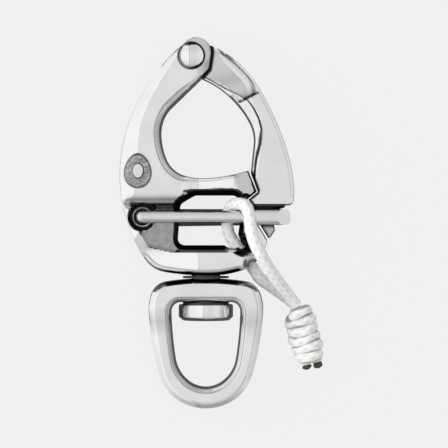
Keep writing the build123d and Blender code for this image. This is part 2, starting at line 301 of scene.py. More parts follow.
def signed(points, loop):
    """Distance to a closed outline, below 0 inside it."""
    return np.where(inside(points, loop), -1, 1) * distance(points, loop, closed=True)


def soft_min(a, b, softness=0.35):
    """The lower of a and b, with the ridge between them rounded."""
    return np.minimum(a, b) - np.maximum(softness - np.abs(a - b), 0) ** 2 / (4 * softness)


def soft_max(a, b, softness=0.3):
    return -soft_min(-a, -b, softness)


def ramp(value, low, high):
    """0 below low, 1 above high, and smooth between."""
    t = np.clip((value - low) / (high - low), 0, 1)
    return t * t * (3 - 2 * t)


def crease(gap, at, width):
    """1 where gap equals at, and falling to 0 within about two widths on either side."""
    return np.exp(-((gap - at) / width) ** 2)


def away_from(centre, points):
    """How far each of the points is from the centre."""
    return np.hypot(points[:, 0] - centre[0], points[:, 1] - centre[1])


# ------------------------------------------------------------------ relief meshes
def beside(line, offset, closed=True):
    """A line's points moved sideways."""
    line = np.array(line)
    ahead = np.roll(line, -1, axis=0) - np.roll(line, 1, axis=0)
    if not closed:
        ahead[0], ahead[-1] = line[1] - line[0], line[-1] - line[-2]
    size = np.maximum(np.linalg.norm(ahead, axis=1), 1e-9)[:, None]
    return line + offset * np.column_stack((-ahead[:, 1], ahead[:, 0])) / size


def thinned(points, gap, taken):
    """The points that stay at least gap from each other and from those taken, which they join."""
    kept = []
    for x, y in points:
        cell = (int(x // gap), int(y // gap))
        near = (q for i in (-1, 0, 1) for j in (-1, 0, 1) for q in taken.get((cell[0] + i, cell[1] + j), ()))
        if all((x - q[0]) ** 2 + (y - q[1]) ** 2 >= gap * gap for q in near):
            taken.setdefault(cell, []).append((x, y))
            kept.append((x, y))
    return kept


def set_painted_shade(mesh, amounts):
    """How much painted shade and painted dark reflection each vertex has, in the metal's creases and hollows and
    in the folds of the cord, from 0 to 1.
    """
    layer = mesh.attributes.new("painted_shade", "FLOAT", "POINT")
    layer.data.foreach_set("value", np.clip(amounts, 0, 1).astype(np.float32))


def relief(name, loops, features, half_thickness, painted_shade, cell=0.34):
    """A closed solid on the middle plane, the same on both sides.

    loops are closed outlines, the outer one first and then holes. features are lines that the surface creases
    along. half_thickness(points) gives half its thickness, and is 0 on the outlines. grime(points) gives the
    painted shade and painted dark reflection that darken it.
    """
    edge = [p for loop in loops for p in loop]
    edges, first = [], 0
    for loop in loops:
        edges += [(first + k, first + (k + 1) % len(loop)) for k in range(len(loop))]
        first += len(loop)

    rings = [beside(loop, sign * offset) for loop in loops for offset in (0.07, 0.16, 0.3, 0.5, 0.8)
             for sign in (-1, 1)]
    rings += [beside(line, offset, closed=False) for line in features for offset in (0, -0.14, 0.14, -0.3, 0.3)]
    rings = np.concatenate(rings)
    low, high = np.min(edge, axis=0), np.max(edge, axis=0)
    rows = np.arange(low[1], high[1], cell * math.sqrt(3) / 2)
    grid = np.array([(x + (cell / 2 if k % 2 else 0), y) for k, y in enumerate(rows)
                     for x in np.arange(low[0], high[0], cell)])

    def usable(points, margin):
        keep = inside(points, loops[0])
        for hole in loops[1:]:
            keep &= ~inside(points, hole)
        points = points[keep]
        clear = np.min([distance(points, loop, closed=True) for loop in loops], axis=0)
        return points[clear > margin]

    fine, coarse = {}, {}
    kept = thinned(usable(rings, 0.055), 0.085, fine)
    for x, y in edge + kept:
        coarse.setdefault((int(x // 0.2), int(y // 0.2)), []).append((x, y))
    kept += thinned(usable(grid, 0.15), 0.2, coarse)

    found = delaunay_2d_cdt([Vector(p) for p in edge + kept], edges, [], 0, 1e-6)
    flat = np.array([tuple(v) for v in found[0]])
    faces = np.array(found[2])
    centres = flat[faces].mean(axis=1)
    keep = inside(centres, loops[0])
    for hole in loops[1:]:
        keep &= ~inside(centres, hole)
    faces = faces[keep]
    on_edge = np.min([distance(flat, loop, closed=True) for loop in loops], axis=0) < 1e-3
    height = np.where(on_edge, 0, half_thickness(flat))

    below = np.where(on_edge, np.arange(len(flat)), len(flat) + np.cumsum(~on_edge) - 1)
    top = np.column_stack((flat, MIDDLE + height))
    bottom = np.column_stack((flat, MIDDLE - height))[~on_edge]
    corners = np.concatenate((top, bottom)) * MM
    mesh = bpy.data.meshes.new(name)
    mesh.from_pydata(corners.tolist(), [], np.concatenate((faces, below[faces[:, ::-1]])).tolist())
    dark = painted_shade(flat)
    set_painted_shade(mesh, np.concatenate((dark, dark[~on_edge])))
    return finished(name, mesh)


def mesh_of(name, shape):
    """A mesh made from a bmesh, which is freed."""
    mesh = bpy.data.meshes.new(name)
    shape.to_mesh(mesh)
    shape.free()
    return mesh


def tube_faces(rows, sides):
    """The faces round a tube, from one row of corners to the next."""
    return [(row * sides + k, row * sides + (k + 1) % sides, (row + 1) * sides + (k + 1) % sides,
             (row + 1) * sides + k) for row in range(rows - 1) for k in range(sides)]


def finished(name, mesh, sharp_angle=62):
    """Tidies a mesh, shades it smooth but for its sharp edges, and puts it in the scene."""
    shape = bmesh.new()
    shape.from_mesh(mesh)
    bmesh.ops.delete(shape, geom=[v for v in shape.verts if not v.link_faces], context="VERTS")
    bmesh.ops.recalc_face_normals(shape, faces=shape.faces)
    shape.to_mesh(mesh)
    shape.free()
    mesh.shade_smooth()
    mesh.set_sharp_from_angle(angle=math.radians(sharp_angle))
    piece = bpy.data.objects.new(name, mesh)
    collection.objects.link(piece)
    return piece


def prism(outline, low, high):
    """A closed mesh object standing on an outline, from low to high above the middle plane."""
    shape = bmesh.new()
    floor = [shape.verts.new((x * MM, y * MM, (MIDDLE + low) * MM)) for x, y in outline]
    ceiling = [shape.verts.new((x * MM, y * MM, (MIDDLE + high) * MM)) for x, y in outline]
    shape.faces.new(floor[::-1])
    shape.faces.new(ceiling)
    for k in range(len(outline)):
        after = (k + 1) % len(outline)
        shape.faces.new((floor[k], floor[after], ceiling[after], ceiling[k]))
    bmesh.ops.recalc_face_normals(shape, faces=shape.faces)
    return bpy.data.objects.new("cutter", mesh_of("cutter", shape))


def drill(start, end, radius, sides=48):
    """A round cutter between two points."""
    start, end = Vector(start) * MM, Vector(end) * MM
    shape = bmesh.new()
    bmesh.ops.create_cone(shape, cap_ends=True, segments=sides, radius1=radius * MM, radius2=radius * MM,
                          depth=(end - start).length)
    turn = (end - start).to_track_quat("Z", "Y").to_matrix().to_4x4()
    shape.transform(turn)
    bmesh.ops.translate(shape, verts=shape.verts, vec=(start + end) / 2)
    return bpy.data.objects.new("cutter", mesh_of("cutter", shape))


def cut(piece, *cutters):
    """Takes the cutters out of the piece."""
    for cutter in cutters:
        collection.objects.link(cutter)
        step = piece.modifiers.new("cut", "BOOLEAN")
        step.operation, step.solver, step.object = "DIFFERENCE", "EXACT", cutter
    bpy.context.view_layer.update()
    mesh = bpy.data.meshes.new_from_object(piece.evaluated_get(bpy.context.evaluated_depsgraph_get()))
    piece.modifiers.clear()
    piece.data = mesh
    for cutter in cutters:
        bpy.data.objects.remove(cutter)
    mesh.shade_smooth()
    mesh.set_sharp_from_angle(angle=math.radians(50))


def fit(piece, slot, body, *nodes):
    """Gives a piece its material and its body, and hides the CAD nodes it stands for."""
    piece.data.materials.clear()
    piece.data.materials.append(MATERIALS[slot])
    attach(piece, body)
    if nodes:
        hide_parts(*nodes)


def on_circle(centre, radius, angle):
    turn = math.radians(angle)
    return centre[0] + radius * math.cos(turn), centre[1] + radius * math.sin(turn)


# ------------------------------------------------------------------ body
HEAD, HEAD_RADIUS = (-2.5, 41.0), 4.0
EAR_ROOT, EAR_CORNER = (-1.5, 34.4), (0.9, 37.0)
SLOT_HALF = 3.6
LIMB_RIGHT = (14.9, -4.2)
NOSE_TOP, NOSE_TIP, NOSE_ROOT = (10.3, 12.7), (12.4, 7.55), (9.4, 5.15)
FOOT_Y = -12.9
PIN_SEAT_HALF, PIN_SEAT_RADIUS = 5.2, 3.0
CRISP = 0.1
PIN_RADIUS, EYE_CLEARANCE = 2.0, 4.0
BUSH_BORE, CORD_BORE, STUD_BORE = 3.0, 2.1, 3.5
FOOT_BEVEL = 1.42

left_side = arc_chain(on_circle(HEAD, HEAD_RADIUS, 132), 222, (-17.7, 26.7), (-20.9, 10.4), (-14.8, -8.8))
foot = arc_chain((-14.8, -8.8), 303, (-9.9, -12.0), (0, FOOT_Y), (7.8, -11.9))
corner = arc_chain((7.8, -11.9), 15, (12.4, -9.3), LIMB_RIGHT)
nose = straight(LIMB_RIGHT, (12.7, -0.5), NOSE_ROOT, NOSE_TIP, NOSE_TOP)
jaw = arc_chain(NOSE_TOP, 198, (-0.5, 10.8), (-5.6, 11.6), (-9.5, 15.3), (-10.8, 21.3), (-8.7, 27.4))
jaw = jaw + straight(jaw[-1], EAR_ROOT)[1:]
ear = straight(EAR_ROOT, EAR_CORNER, on_circle(HEAD, HEAD_RADIUS, -12))
head = circle(HEAD, HEAD_RADIUS, -12, 132)
body_loop = left_side + foot[1:] + corner[1:] + nose[1:] + jaw[1:] + ear[1:] + head[1:-1]

window = rounded([(-6.9, -5.45), (7.4, -5.45), (8.8, 3.4), (7.6, 6.6), (-2.6, 6.6), (-6.2, 4.5)], 1.9)
pocket = rounded([(-18.8, 7.2), (-7.5, 7.2), (-4.6, 7.4), (4.2, 7.4), (6.4, 6.4), (22.0, 6.4),
                  (22.0, -6.6), (-8.0, -6.6), (-13.4, -5.4), (-15.3, -2.2), (-16.4, -0.4), (-16.4, 3.0),
                  (-18.9, 4.0), (-19.3, 5.6)], 0.8)
BADGE = (-16.3, 12.5)
badge = [(BADGE[0] + 3.15 * math.cos(a) * (1 - 0.16 * math.sin(a)), BADGE[1] + 4.0 * math.sin(a))
         for a in np.linspace(0, 2 * math.pi, 90, endpoint=False)]
boss = [(BADGE[0] + 1.35 * math.cos(a), BADGE[1] + 1.8 * math.sin(a))
        for a in np.linspace(0, 2 * math.pi, 60, endpoint=False)]
# where the cord goes in and comes out: each hollow's centre, reach and floor, above the middle plane
GUIDE_HOLLOWS = (((8.8, -5.0), 2.9, 1.6), ((11.5, -10.2), 1.75, 1.6))
# how wide the bevel along the left side is, and how steep, from the foot up to the head
RIDGE = ((-12, -4, 8, 17, 23, 32, 40, 46), (1.5, 1.6, 3.6, 4.1, 3.1, 2.5, 1.7, 1.4))
RIDGE_SLOPE = ((-12, 4, 12, 20), (0.30, 0.30, 0.34, 0.42))
JAW_BEVEL, JAW_FLOOR_BEVEL = 1.42, 0.7


def jaw_bevel(x):
    """How wide the bevel along the jaw is: broad on the limb, narrow on the jaw's floor."""
    return JAW_FLOOR_BEVEL + (JAW_BEVEL - JAW_FLOOR_BEVEL) * ramp(x, -1.5, -7.5)


def past_facet(x, y):
    """How far a place on the nose is past the edge of its facet."""
    return x + 0.35 * (y - 9) - 7.6


def body_half(points):
    x, y = points.T
    rim = distance(points, left_side)
    low = distance(points, foot)
    right = distance(points, corner)
    beak = distance(points, nose)
    inner = distance(points, jaw)
    crown = distance(points, ear + head[1:])
    # the faces are dressed by hand, so they are not quite flat
    half = BODY_HALF - 0.03 - 0.03 * np.sin(0.31 * x + 0.23 * y) + 0.02 * ramp(x, -8, 2)
    # the bar above the window and the foot lean to the left, and are brighter for it
    half = half - 0.11 * np.clip(7.1 - x, 0, 9) * ramp(x, -7, -3) * ramp(y, 6.0, 8.0) * ramp(y, 12.5, 11.0)
    half = half - 0.115 * np.clip(-1.7 - x, 0, 13) * ramp(-y, 2, 8)
    width, slope = np.interp(y, *RIDGE), np.interp(y, *RIDGE_SLOPE)
    half = soft_min(half, BODY_HALF - slope * (width - rim), CRISP)
    half = soft_min(half, BODY_HALF - 0.86 * (1.35 - low), CRISP) - 0.1 * crease(low, FOOT_BEVEL, 0.12)
    half = soft_min(half, 6.0 + 0.5 * right, CRISP)
    bevel = jaw_bevel(x)
    half = soft_min(half, BODY_HALF - 0.86 * (bevel - inner), CRISP)
    half = half - 0.14 * crease(inner, bevel + 0.05, 0.14) * ramp(x, 9.0, 3.0)
    half = soft_min(half, BODY_HALF - 0.8 * (0.75 - crown), CRISP)
    half = np.where(y > 5, soft_min(half, BODY_HALF - 0.4 * past_facet(x, y), CRISP), half)
    for gap, steep in ((rim, np.interp(y, (35, 43), (26, 8))), (low, 26), (right, 20), (beak, 13), (inner, 22),
                       (crown, np.interp(x, (-5, -1), (8, 26)))):
        half = soft_min(half, steep * gap, 0.2)
    half = soft_min(half, 3.9 + 2.6 * low, 0.2)
    # the seat of the pin's head
    seat = away_from(HINGE, points) - PIN_SEAT_RADIUS
    half = soft_min(half, soft_max(np.full(len(points), PIN_SEAT_HALF), PIN_SEAT_HALF + 3.6 * seat, 0.1), CRISP)
    # pocket and window
    wall = signed(points, pocket)
    sunk = WEB_HALF + 5.5 * (wall + 0.12)
    above = BODY_HALF - 0.245 * np.maximum(7.2 - y, 0) ** 2
    sunk = np.where((x < -5.2) & (y > 3.2), np.maximum(above, sunk), sunk)
    half = soft_min(half, soft_max(np.full(len(points), WEB_HALF - 0.15), sunk, 0.2), 0.25)
    hole = distance(points, window, closed=True)
    half = soft_min(half, 0.1 + 2.15 * hole + 9 * np.maximum(hole - 1.25, 0), 0.15)
    # the bushes' bore, and the hollows where the cord goes in and comes out
    bore = away_from(PIVOT, points) - BUSH_BORE
    half = soft_min(half, soft_max(np.full(len(points), 0.5), 0.5 + 14 * bore, 0.1), 0.1)
    for centre, reach, floor in GUIDE_HOLLOWS:
        half = soft_min(half, floor + 2.6 * np.maximum(away_from(centre, points) - 0.4 * reach, 0), 0.15)
    # an egg-shaped badge, plain: a sunk, pitted floor with a low boss
    oval = signed(points, badge)
    pits = 0.05 * np.sin(9.1 * x + 3 * np.sin(7.3 * y)) * np.sin(8.3 * y + 2 * np.sin(6.1 * x))
    floor = BODY_HALF - 0.85 - 0.1 * (x - BADGE[0]) + pits + 0.42 * ramp(-signed(points, boss), -0.12, 0.12)
    return soft_min(half, soft_max(floor, BODY_HALF - 0.8 + 2.6 * (oval + 0.15), 0.08), 0.08)


def body_painted_shade(points):
    """Painted shade and painted dark reflection: in the creases, round the pin and the window, and in the pocket.
    """
    x, y = points.T
    inner, low = distance(points, jaw), distance(points, foot)
    rim = distance(points, left_side)
    bevel = jaw_bevel(x)
    # painted shade along the jaw's bevel and the foot's bevel, at the foot's left edge, round the pin and beside
    # the ear
    dark = (0.35 + 0.4 * ramp(x, -2, -7)) * crease(inner, bevel + 0.05, 0.16) * ramp(x, 9.5, 6.0)
    dark = dark + 0.12 * ramp(inner, bevel, bevel - 0.3) * ramp(x, 0, -6)
    dark = dark + 0.45 * crease(low, FOOT_BEVEL, 0.14) + 0.15 * ramp(low, 1.4, 1.1)
    dark = dark + ramp(low, 0.6, 0.4) * ramp(x, -12, -9)
    dark = dark + ramp(away_from(HINGE, points), 3.46, 3.34) * (0.5 + 0.5 * ramp(x - HINGE[0], -2.0, 1.0))
    at_ear = ramp(x, -1.5, 0.5) * ramp(y, 44, 41) * (y > 33)
    dark = dark + 0.25 * ramp(away_from(HEAD, points), 3.25, 3.5) * at_ear
    # the head's upper left is rounded away, and painted black there as a dark reflection
    dark = dark + ramp(rim, 0.25 + 0.55 * ramp(y, 36, 43), 0.1 + 0.4 * ramp(y, 36, 43)) * ramp(y, 33, 38)
    # painted shade in the pocket, and painted dark reflection in a frame round the window
    wall = signed(points, pocket)
    hole = distance(points, window, closed=True)
    mottle = 0.5 + 0.5 * np.sin(2.1 * x + 1.3 * np.sin(1.7 * y)) * np.sin(1.9 * y + 1.1 * np.sin(2.3 * x))
    deep = 0.08 + 0.62 * ramp(y, 6.9, 3.6) * (y > 1.4) + (0.44 + 0.12 * mottle) * (y <= 1.4)
    dark = dark + ramp(wall, 0.1, -0.25) * deep * ramp(x, 12, 10)
    frame_width = 1.2 + 0.35 * ramp(y, -1, 3)
    dark = dark + ramp(hole, frame_width, frame_width - 0.2) * (x < 9.5)
    # the rim beside the pivot gets no painted shade
    dark = dark * (1 - ramp(y, 5.5, 4.5) * ramp(y, -1.5, -0.5) * ramp(rim, 2.2, 1.6))
    # painted shade round the bushes' bore and in the hollows where the cord goes in and comes out
    dark = dark + ramp(away_from(PIVOT, points), 3.35, 3.2)
    for centre, reach, _ in GUIDE_HOLLOWS:
        dark = dark + 0.92 * ramp(away_from(centre, points), reach, 0.72 * reach)
    # the badge: painted shade over its sunk, pitted floor, along its edge and round the boss
    oval = signed(points, badge)
    speck = np.sin(23.1 * x + 4 * np.sin(17.3 * y)) * np.sin(19.3 * y + 3 * np.sin(21.1 * x))
    inside_badge = (0.55 + 0.25 * speck) * ramp(oval, 0.0, -0.15) * ramp(signed(points, boss), -0.05, 0.08)
    rings = crease(oval, 0.02, 0.2) + 0.9 * crease(signed(points, boss), 0, 0.14)
    dark = dark * ramp(oval, -0.1, 0.2) + np.maximum(inside_badge, 0.95 * rings * (oval < 0.4))
    # painted shade on the nose's edge and on its facet
    dark = dark + ramp(distance(points, nose), 0.5, 0.34) * (y > 4)
    return dark + 0.28 * ramp(past_facet(x, y), -0.05, 0.1) * ramp(y, 5.5, 6) * ramp(inner, 0.1, 0.4)


def inward(line, offset):
    """A line moved sideways, as a list of points."""
    return [tuple(p) for p in beside(line, offset, closed=False)]


ridge_width = np.interp([y for _, y in left_side], *RIDGE)[:, None]
body = relief("forged_body", [body_loop, window],
              [pocket + pocket[:1], badge + badge[:1], boss + boss[:1], inward(jaw[12:], JAW_BEVEL),
               inward(foot, 1.4), circle(HINGE, PIN_SEAT_RADIUS + 0.4), circle(PIVOT, 3.7),
               inward(ear + head[1:], 0.75), inward(left_side, ridge_width)], body_half, body_painted_shade, cell=0.3)
guide_in, guide_out = Vector((6.5, -4.6, MIDDLE)), Vector((11.6, -11.0, MIDDLE))
guide_run = (guide_out - guide_in).normalized()
# the fork's slot, round the gate's eye and as far as the gate swings
slot_polygon = [(-5.2, 36.6), (-2.2, 34.2), (12, 30), (12, 50), (-12.1, 50), HINGE]
cut(body,
    prism(slot_polygon, -SLOT_HALF, SLOT_HALF),
    drill((*HINGE, MIDDLE - SLOT_HALF), (*HINGE, MIDDLE + SLOT_HALF), EYE_CLEARANCE, 64),
    drill((*HINGE, -1), (*HINGE, 2 * MIDDLE + 1), PIN_RADIUS),
    drill(guide_in - guide_run * 2, guide_in + guide_run * 12, CORD_BORE),
    drill((0, -7.6, MIDDLE), (0, FOOT_Y - 1, MIDDLE), STUD_BORE))
fit(body, "forging", "shackle", "body")

# ------------------------------------------------------------------ gate
EYE_RADIUS, EYE_HALF = 3.6, 3.3
FOOT_GATE_Y = 4.2
outer_gate = arc_chain((1.5, 42.9), -24, (7.5, 39.1), (13.2, 32.3), (19.5, 18.4), (21.5, 7.0))
tongue = straight((21.5, 7.0), (21.4, 5.5), (21.05, 4.7), (20.4, FOOT_GATE_Y), (19.3, FOOT_GATE_Y),
                  (19.2, 3.7), (16.95, 3.1), (16.6, -0.6), (16.8, -1.9), (15.7, -3.6), (15.1, -3.7),
                  (13.0, -0.3), (11.4, FOOT_GATE_Y), (10.3, 5.6), (12.6, 7.5), (10.9, 12.1))
inner_gate = arc_chain((10.9, 12.1), 84, (11.6, 18.8), (10.5, 24.3), (5.4, 30.8), (-1.4, 35.0))
eye_back = straight(inner_gate[-1], on_circle(HINGE, EYE_RADIUS, 240))
eye = circle(HINGE, EYE_RADIUS, 240, 72)
brow = straight(on_circle(HINGE, EYE_RADIUS, 72), (1.5, 42.9))
gate_loop = outer_gate + tongue[1:] + inner_gate[1:] + eye_back[1:] + eye[1:] + brow[1:-1]
pin_hole = circle(HINGE, PIN_RADIUS + 0.05)
# the line between the band along the inner edge and the blade, and the hollow neck's outer border
band_line = straight((11.75, 9.6), (11.7, 13.0), (12.1, 15.6), (13.0, 18.9), (13.4, 22.5), (12.7, 25.2),
                     (11.4, 27.7), (10.0, 29.5), (7.9, 30.8), (4.7, 32.4), (2.2, 33.8), (0.3, 34.9),
                     (-1.6, 35.6))
band_region = band_line + [(-4.0, 33.0), (8.0, 20.0), (9.0, 9.0)]
NECK_CORNER = (12.5, 31.2)
neck_outer = arc_chain((4.4, 42.6), -52, (9.8, 36.6), NECK_CORNER)
neck_step = straight(NECK_CORNER, (8.2, 29.2))
neck_region = neck_outer + neck_step[1:] + [(4.0, 32.0), (0.0, 33.0), (-9.0, 34.0), (-9.0, 46.0), (2.0, 46.0)]


def beyond(points, a, b):
    """How far points are past the line from a to b, on its left."""
    run = np.array(b) - np.array(a)
    run = run / np.linalg.norm(run)
    return (points[:, 1] - a[1]) * run[0] - (points[:, 0] - a[0]) * run[1]


def gate_half(points):
    x, y = points.T
    outer = distance(points, outer_gate + [(21.5, 7.0)])
    inner = distance(points, inner_gate)
    rest = distance(points, tongue)
    blade = GATE_HALF - 0.02 * np.sin(0.4 * x - 0.3 * y) - 0.03 * ramp(x, 14, 20)
    # the neck is thin: it rises softly to a low outer rim, and steeply at the blade's step
    along = beyond(points, NECK_CORNER, (8.2, 29.2))
    top = blade - 1.3 * ramp(-along, 0.0, 9.0)
    in_neck = inside(points, neck_region)
    border = distance(points, neck_outer)
    neck = EYE_HALF + 1.2 * ramp(-along, 11.0, 1.0)
    near_eye = away_from(HINGE, points) < EYE_RADIUS + 0.9
    neck = np.where(near_eye, np.minimum(neck, EYE_HALF), soft_max(neck, top - 1.05 * border, 0.8))
    face = np.where(in_neck, neck, soft_min(top, neck + 6 * distance(points, neck_step), 0.1))
    # a band along the inner edge, below the face and with a white polish
    line = distance(points, band_line)
    past = np.where(inside(points, band_region), line, -line)
    band = 2.75 + 0.62 * (np.maximum(face, 3.4) - 3.4) + 0.42 * inner
    edge = np.where(past > 0, band, band + 3.6 * -past)
    half = soft_min(face, np.where(near_eye & (x < 0), 99, edge), CRISP)
    half = soft_min(half, top - 0.45 + 0.45 * outer, CRISP)
    half = half - 0.06 * crease(outer, 1.0, 0.12)
    # the tongue below the blade's foot
    half = soft_min(half, WEB_HALF + 16 * np.maximum(y - FOOT_GATE_Y - 0.08, 0), 0.15)
    for gap, steep in ((outer, 26), (inner, 22), (rest, np.where(y > 3.9, 26, 9))):
        half = soft_min(half, steep * gap, 0.2)
    rim = distance(points, eye + brow)
    hole = distance(points, pin_hole, closed=True)
    return soft_min(soft_min(half, 26 * rim, 0.1), 26 * hole, 0.1)


# painted shade and painted dark reflection: in the neck towards the blade's step, beside the ear, along the band's
# line and the outer bevel, and on and beside the tongue below the blade's foot
def gate_painted_shade(points):
    x, y = points.T
    step, line = distance(points, neck_step), distance(points, band_line)
    within = inside(points, neck_region) & ~inside(points, band_region)
    dark = within * (0.16 + 0.62 * np.maximum(1 - step / 3.6, 0) ** 2.2)
    dark = dark * (1 - 0.9 * ramp(distance(points, neck_outer), 1.0, 0.2))
    dark = dark + 0.7 * ramp(step, 0.45, 0.2)
    from_ear = distance(points, ear + head[1:50])
    dark = dark + 0.97 * ramp(from_ear, 0.8, 0.4) * (y > 34)
    thick = 0.2 + 0.22 * ramp(y, 12, 18) * ramp(y, 25, 20)
    dark = dark + (0.45 + 0.5 * ramp(y, 30, 26)) * ramp(line, thick, 0.6 * thick)
    dark = dark + 0.25 * crease(distance(points, outer_gate), 1.0, 0.13)
    dark = dark + ramp(distance(points, tongue[60:]), 0.62, 0.46) * (y > 4) * (x < 13)
    return dark + ramp(y, FOOT_GATE_Y + 0.25, FOOT_GATE_Y) * (x > 9) * (0.4 + 0.6 * ramp(y, -1.6, -0.6))


foot_line = straight((10.6, FOOT_GATE_Y + 0.2), (20.4, FOOT_GATE_Y + 0.2))
gate = relief("forged_gate", [gate_loop, pin_hole],
              [band_line, neck_step, foot_line, inward(outer_gate, -0.96), inward(outer_gate, -1.2)],
              gate_half, gate_painted_shade, cell=0.3)
fit(gate, "gate_forging", "gate_body", "gate")

# ------------------------------------------------------------------ bail
CROWN_TOP, CROWN_UNDER, BOW_OUT, BOW_IN = -13.5, -19.3, -45.0, -39.8
CROWN_HALF, BOW_HALF = 6.2, 4.4
half_outer = arc_chain((0, BOW_OUT), 180, (-6.3, -43.3), (-11.2, -37.0), (-13.9, -22.0), (-13.3, -17.3),
                       (-9.6, CROWN_TOP - 0.7), (0, CROWN_TOP))
half_inner = arc_chain((0, BOW_IN), 180, (-3.8, -38.6), (-7.3, -33.0), (-8.35, -21.6), (-6.3, CROWN_UNDER))
half_inner = half_inner + straight(half_inner[-1], (0, CROWN_UNDER))[1:]


def both_sides(half_line):
    """The closed outline of a line from the bow up to the crown and its mirror image."""
    return half_line + [(-x, y) for x, y in half_line[-2:0:-1]]


outer_bail, inner_bail = both_sides(half_outer), both_sides(half_inner)


def bail_bevel(y):
    """1 on the crown and 0 below it, and how wide the outer bevel is."""
    crowned = ramp(y, -17.5, -15.5)
    return crowned, 1.45 * (1 - crowned) + 0.75 * crowned


def bail_half(points):
    x, y = points.T
    outer = distance(points, outer_bail, closed=True)
    inner = distance(points, inner_bail, closed=True)
    top = BOW_HALF + (CROWN_HALF - BOW_HALF) * ramp(y, -27.5, -20.0) + 0.02 * np.sin(0.5 * x + 0.4 * y)
    _, broad = bail_bevel(y)
    half = soft_min(top, top - 0.66 * (broad - outer), CRISP)
    half = half - 0.09 * crease(outer, broad, 0.11)
    half = soft_min(half, top - 0.86 * (1.25 - inner), CRISP)
    half = half - 0.14 * crease(inner, 1.3, 0.13)
    half = soft_min(half, 26 * outer, 0.2)
    half = np.where(y > -16.5, soft_min(half, 3.9 + 2.2 * outer, 0.2), half)
    return soft_min(half, 14 * inner, 0.2)


# painted shade in the creases along the inner and outer bevels, and painted dark reflection on the crown's outer
# edge
def bail_painted_shade(points):
    x, y = points.T
    outer = distance(points, outer_bail, closed=True)
    inner = distance(points, inner_bail, closed=True)
    dark = 0.6 * crease(inner, 1.3, 0.16) + 0.3 * ramp(inner, 1.25, 1.0) * ramp(x, 2, -3)
    crowned, broad = bail_bevel(y)
    dark = dark + 0.4 * crease(outer, broad, 0.13) * np.maximum(ramp(x, 4, 9), crowned)
    return dark + ramp(outer, 0.75, 0.5) * crowned * ramp(np.abs(x), 12, 8)


closed_outer, closed_inner = outer_bail + outer_bail[:1], inner_bail + inner_bail[:1]
bail = relief("forged_bail", [outer_bail, inner_bail],
              [inward(closed_outer, -1.45), inward(closed_inner, 1.27)], bail_half, bail_painted_shade, cell=0.32)
cut(bail, drill((0, CROWN_TOP + 1, MIDDLE), (0, CROWN_UNDER - 1.2, MIDDLE), STUD_BORE + 0.05, 64))
fit(bail, "bail_forging", "swivel_bail", "bail")


# ------------------------------------------------------------------ turned pieces
def lathe(name, origin, axis, profile, sides=96):
    """A closed solid turned about an axis, from (radius, distance along the axis) points."""
    origin, axis = Vector(origin), Vector(axis)
    across = axis.orthogonal().normalized()
    other = axis.cross(across)
    corners = []
    for radius, along in profile:
        for k in range(sides):
            turn = 2 * math.pi * k / sides
            corners.append(origin + axis * along + (across * math.cos(turn) + other * math.sin(turn)) * radius)
    faces = tube_faces(len(profile), sides)
    faces.append(tuple(range(sides))[::-1])
    faces.append(tuple((len(profile) - 1) * sides + k for k in range(sides)))
    mesh = bpy.data.meshes.new(name)
    mesh.from_pydata([tuple(c * MM) for c in corners], [], faces)
    return finished(name, mesh, 40)


def arc_profile(radius, along, reach, start, end, count=8):
    """Profile points round a corner whose centre is at (radius, along)."""
    return [on_circle((radius, along), reach, start + (end - start) * k / count) for k in range(count + 1)]


pin_low, pin_high = (corner.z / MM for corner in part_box("gate_pin"))
dome_edge, dome_rise = 2.95, 0.85
dome_radius = (dome_edge ** 2 + dome_rise ** 2) / (2 * dome_rise)
dome = [(dome_radius * math.sin(math.radians(a)), pin_high - dome_radius * (1 - math.cos(math.radians(a))))
        for a in np.linspace(math.degrees(math.asin(dome_edge / dome_radius)), 0.4, 24)]
pin = lathe("domed_pin", (*HINGE, 0), (0, 0, 1),
            [(1.6, pin_low), (PIN_RADIUS - 0.03, pin_low + 0.35),
             (PIN_RADIUS - 0.03, MIDDLE + PIN_SEAT_HALF + 0.02),
             (dome_edge, MIDDLE + PIN_SEAT_HALF + 0.02)] + dome)
fit(pin, "pin_steel", "shackle", "gate_pin")

(nut_low, nut_high), (stud_low, stud_high) = (
    [corner.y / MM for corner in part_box(node)] for node in ("swivel_nut", "swivel_stud"))
NUT_RADIUS, STUD_RADIUS = 6.6, 3.5
nut = lathe("turned_nut", (0, 0, MIDDLE), (0, 1, 0),
            [(NUT_RADIUS - 1.15, nut_low), (NUT_RADIUS - 0.95, nut_low + 0.06),
             (NUT_RADIUS - 0.2, nut_low + 0.72), (NUT_RADIUS - 0.05, nut_low + 0.86),
             (NUT_RADIUS, nut_low + 1.05), (NUT_RADIUS, nut_high - 0.45)]
            + arc_profile(NUT_RADIUS - 0.35, nut_high - 0.35, 0.35, 0, 90)
            + [(STUD_RADIUS, nut_high), (STUD_RADIUS, nut_low + 0.6)])
fit(nut, "turned_steel", "shackle", "swivel_nut")
stud = lathe("turned_stud", (0, 0, MIDDLE), (0, 1, 0),
             [(STUD_RADIUS - 0.02, stud_low), (STUD_RADIUS - 0.02, stud_high - 0.4),
              (STUD_RADIUS - 0.4, stud_high)], 72)
# painted shade: the stud shows in the gap between the body and the bail, and is painted almost black all over
set_painted_shade(stud.data, np.full(len(stud.data.vertices), 0.93))
fit(stud, "turned_steel", "shackle", "swivel_stud")

